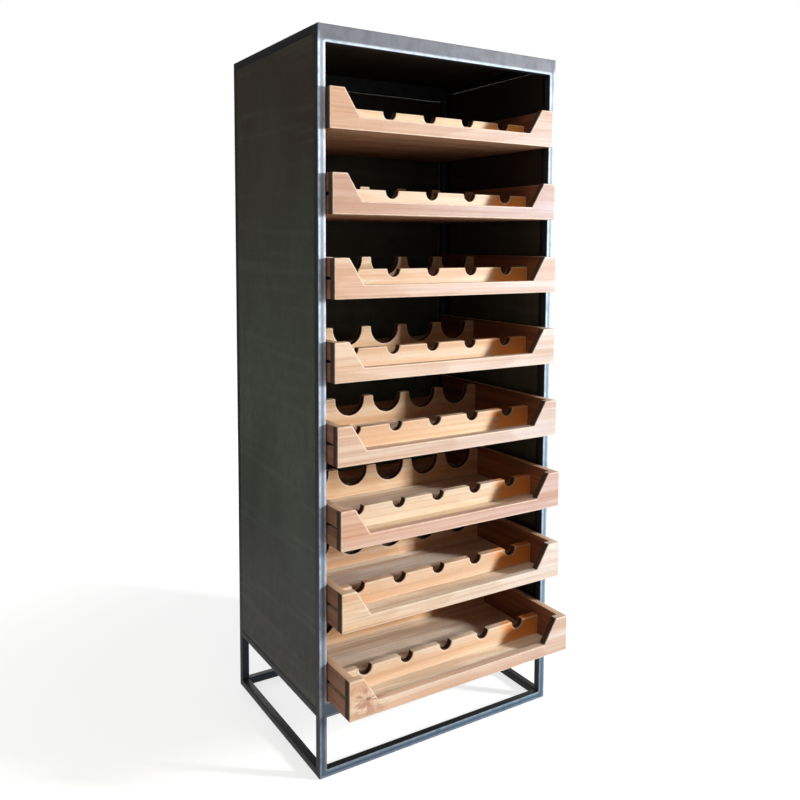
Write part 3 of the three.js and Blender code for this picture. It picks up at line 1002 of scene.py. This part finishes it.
def area_lamp(name, place, target, width, height, power, colour=(1, 1, 1)):
    """A soft box at a place, facing a target."""
    data = bpy.data.lights.new(name, "AREA")
    data.shape = "RECTANGLE"
    data.size = width
    data.size_y = height
    data.energy = power
    data.color = colour
    made = bpy.data.objects.new(name, data)
    made.location = place
    made.rotation_euler = (Vector(target) - Vector(place)).to_track_quat("-Z", "Y").to_euler()
    bpy.context.scene.collection.objects.link(made)


def dark_card():
    """A dark card behind and to the left, seen only in reflections, so that the left faces stay dark."""
    material = bpy.data.materials.new("dark_card")
    material.use_nodes = True
    material.node_tree.nodes["Principled BSDF"].inputs["Base Color"].default_value = CARD_COLOUR
    mesh = bpy.data.meshes.new("dark_card")
    left, right, back, top = CARD
    corners = [(left, back, CARD_LIFT), (right, back, CARD_LIFT), (right, back, top), (left, back, top)]
    mesh.from_pydata(corners, [], [(0, 1, 2, 3)])
    mesh.materials.append(material)
    card = bpy.data.objects.new("dark_card", mesh)
    card.visible_camera = False
    card.visible_diffuse = False
    card.visible_shadow = False
    bpy.context.scene.collection.objects.link(card)


def studio():
    """White surroundings, a pale floor that keeps a faint shadow, a dark card and four soft boxes."""
    world = bpy.data.worlds.new("studio")
    bpy.context.scene.world = world
    world.use_nodes = True
    n = Nodes(world.node_tree)
    world.node_tree.nodes.clear()
    white = n.add("Background")
    white.inputs[1].default_value = 1.0
    white.inputs[0].default_value = (1, 1, 1, 1)
    ambient = n.add("Background")
    ambient.inputs[0].default_value = AMBIENT_COLOUR
    ambient.inputs[1].default_value = AMBIENT
    mixed = n.add("MixShader")
    n.feed(mixed.inputs[0], n.backdrop_rays())
    n.tree.links.new(ambient.outputs[0], mixed.inputs[1])
    n.tree.links.new(white.outputs[0], mixed.inputs[2])
    n.tree.links.new(mixed.outputs[0], n.add("OutputWorld").inputs[0])

    material = bpy.data.materials.new("pale_floor")
    material.use_nodes = True
    material.node_tree.nodes.clear()
    n = Nodes(material.node_tree)
    paint = n.add("BsdfDiffuse")
    paint.inputs[0].default_value = FLOOR_COLOUR
    glow = n.add("Emission")
    seen = n.backdrop_rays()
    reach = n.vector("LENGTH", n.add("TexCoord").outputs["Object"])
    lift = n.step(reach, *LIFT_REACH, *FLOOR_LIFT)
    n.feed(glow.inputs[1], n.sum("MULTIPLY", seen, lift))
    both = n.add("AddShader")
    n.tree.links.new(paint.outputs[0], both.inputs[0])
    n.tree.links.new(glow.outputs[0], both.inputs[1])
    n.tree.links.new(both.outputs[0], n.add("OutputMaterial").inputs[0])
    mesh = bpy.data.meshes.new("floor")
    half = FLOOR_SIDE / 2
    corners = [(-half, -half, 0), (half, -half, 0), (half, half, 0), (-half, half, 0)]
    mesh.from_pydata(corners, [], [(0, 1, 2, 3)])
    mesh.materials.append(material)
    floor = bpy.data.objects.new("floor", mesh)
    bpy.context.scene.collection.objects.link(floor)

    dark_card()
    area_lamp("key", KEY_PLACE, MIDDLE, *KEY_SIDES, KEY_POWER, KEY_COLOUR)
    area_lamp("overhead", OVERHEAD_PLACE, OVERHEAD_TARGET, *OVERHEAD_SIDES, OVERHEAD_POWER, OVERHEAD_COLOUR)
    area_lamp("left_fill", FILL_PLACE, FILL_TARGET, *FILL_SIDES, FILL_POWER, FILL_COLOUR)
    area_lamp("back_fill", BACK_PLACE, BACK_TARGET, *BACK_SIDES, BACK_POWER)


bpy.context.scene.view_settings.view_transform = "Standard"
camera()
panels()
end_frame("front_frame", BARE)
# The rear frame takes painted shade
end_frame("rear_frame", SHADED_STEEL_TONE)
for direction, label in ((-1, "left"), (1, "right")):
    side_steel(direction, label)
for drawer_number in range(1, DRAWERS + 1):
    drawer_pieces(drawer_number)
studio()
